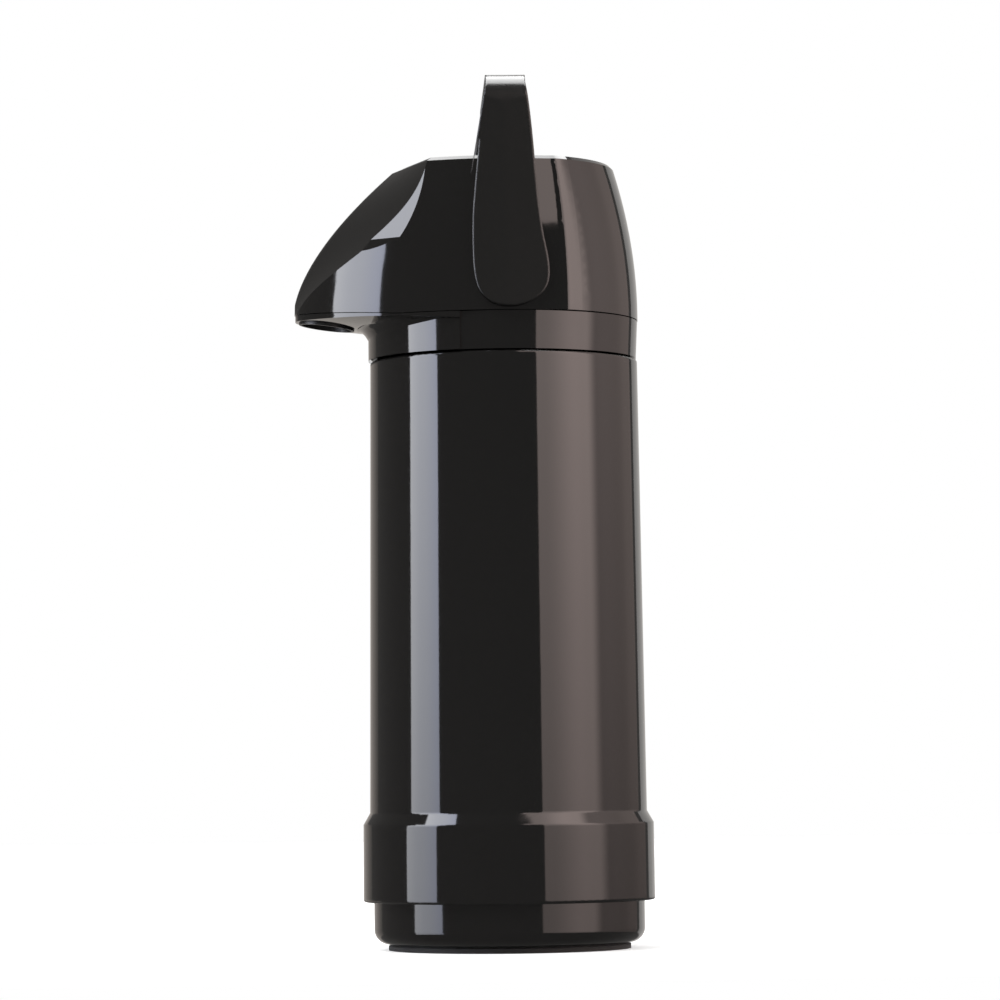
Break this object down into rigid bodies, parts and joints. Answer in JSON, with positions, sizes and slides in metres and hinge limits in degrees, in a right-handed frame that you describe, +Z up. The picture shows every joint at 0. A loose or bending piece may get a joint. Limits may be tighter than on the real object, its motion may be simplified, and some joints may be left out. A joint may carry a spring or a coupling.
{
  "type": "airpot",
  "caption": "Black airpot: pump vacuum flask with a stepped casing, glass refill, beak spout, press button and swinging bail handle.",
  "frame": {"origin": "middle of the foot ring on the surface the flask stands on, on the casing's axis", "axes": "+Z up along the casing's axis, -Y towards the spout, X along the handle's pivots"},
  "size_m": [0.1318, 0.1592, 0.3856],
  "materials": {
    "casing_black": "high gloss black",
    "head_black": "high gloss black",
    "cap_black": "gloss black",
    "handle_black": "gloss black",
    "button_black": "gloss black",
    "trim_black": "satin black",
    "foot_rubber": "matte",
    "seal_rubber": "soft translucent white",
    "cushion_rubber": "matte",
    "silvered_glass": "silvered",
    "clear_glass": "clear",
    "fibre_pad": "felted",
    "inner_plastic": "natural white",
    "pump_plastic": "dark grey",
    "bellows_rubber": "matte",
    "steel": "zinc plated",
    "spring_steel": "drawn wire"
  },
  "bodies": {
    "flask": {"body_shell": "casing_black", "bottom_cap": "cap_black", "foot_ring": "foot_rubber", "base_cushion": "cushion_rubber", "refill_outer_glass": "silvered_glass", "refill_inner_glass": "clear_glass", "refill_spacers": "fibre_pad", "neck_gasket": "seal_rubber"},
    "siphon": {"dip_tube": "inner_plastic", "stopper_plate": "inner_plastic", "stopper_seal": "seal_rubber", "hub_clip": "steel"},
    "head": {"collar": "head_black", "hood": "head_black", "nozzle": "trim_black", "outlet_tube": "seal_rubber", "valve_cage": "inner_plastic", "valve_ball": "inner_plastic", "pump_base": "pump_plastic", "pump_screws": "steel", "bellows": "bellows_rubber", "return_spring": "spring_steel", "button_guide": "trim_black", "hood_screws": "steel", "pivot_pins": "steel", "pivot_washers": "inner_plastic"},
    "button": {"push_button": "button_black", "bellows_plate": "pump_plastic", "intake_valve": "seal_rubber"},
    "handle": {"handle": "handle_black"}
  },
  "joints": [
    {"name": "head_lift", "type": "slide", "parent": "flask", "child": "siphon", "axis": [0, 0, 1], "range_m": [0, 0.00701]},
    {"name": "head_twist", "type": "hinge", "parent": "siphon", "child": "head", "pos_m": [0, 0, 0.27], "axis": [0, 0, 1], "range_deg": [0, 120]},
    {"name": "button_press", "type": "slide", "parent": "head", "child": "button", "axis": [0, 0, -1], "range_m": [0, 0.02], "stiffness_N_per_m": 900, "springref_m": -0.005, "deforming": ["bellows", "return_spring"]},
    {"name": "handle_swing", "type": "hinge", "parent": "head", "child": "handle", "pos_m": [0, 0.001, 0.296], "axis": [1, 0, 0], "range_deg": [-95, 62]}
  ],
  "couplings": [
    {"joint": "head_lift", "follows": "head_twist", "m_per_rad": 0.0033423}
  ]
}
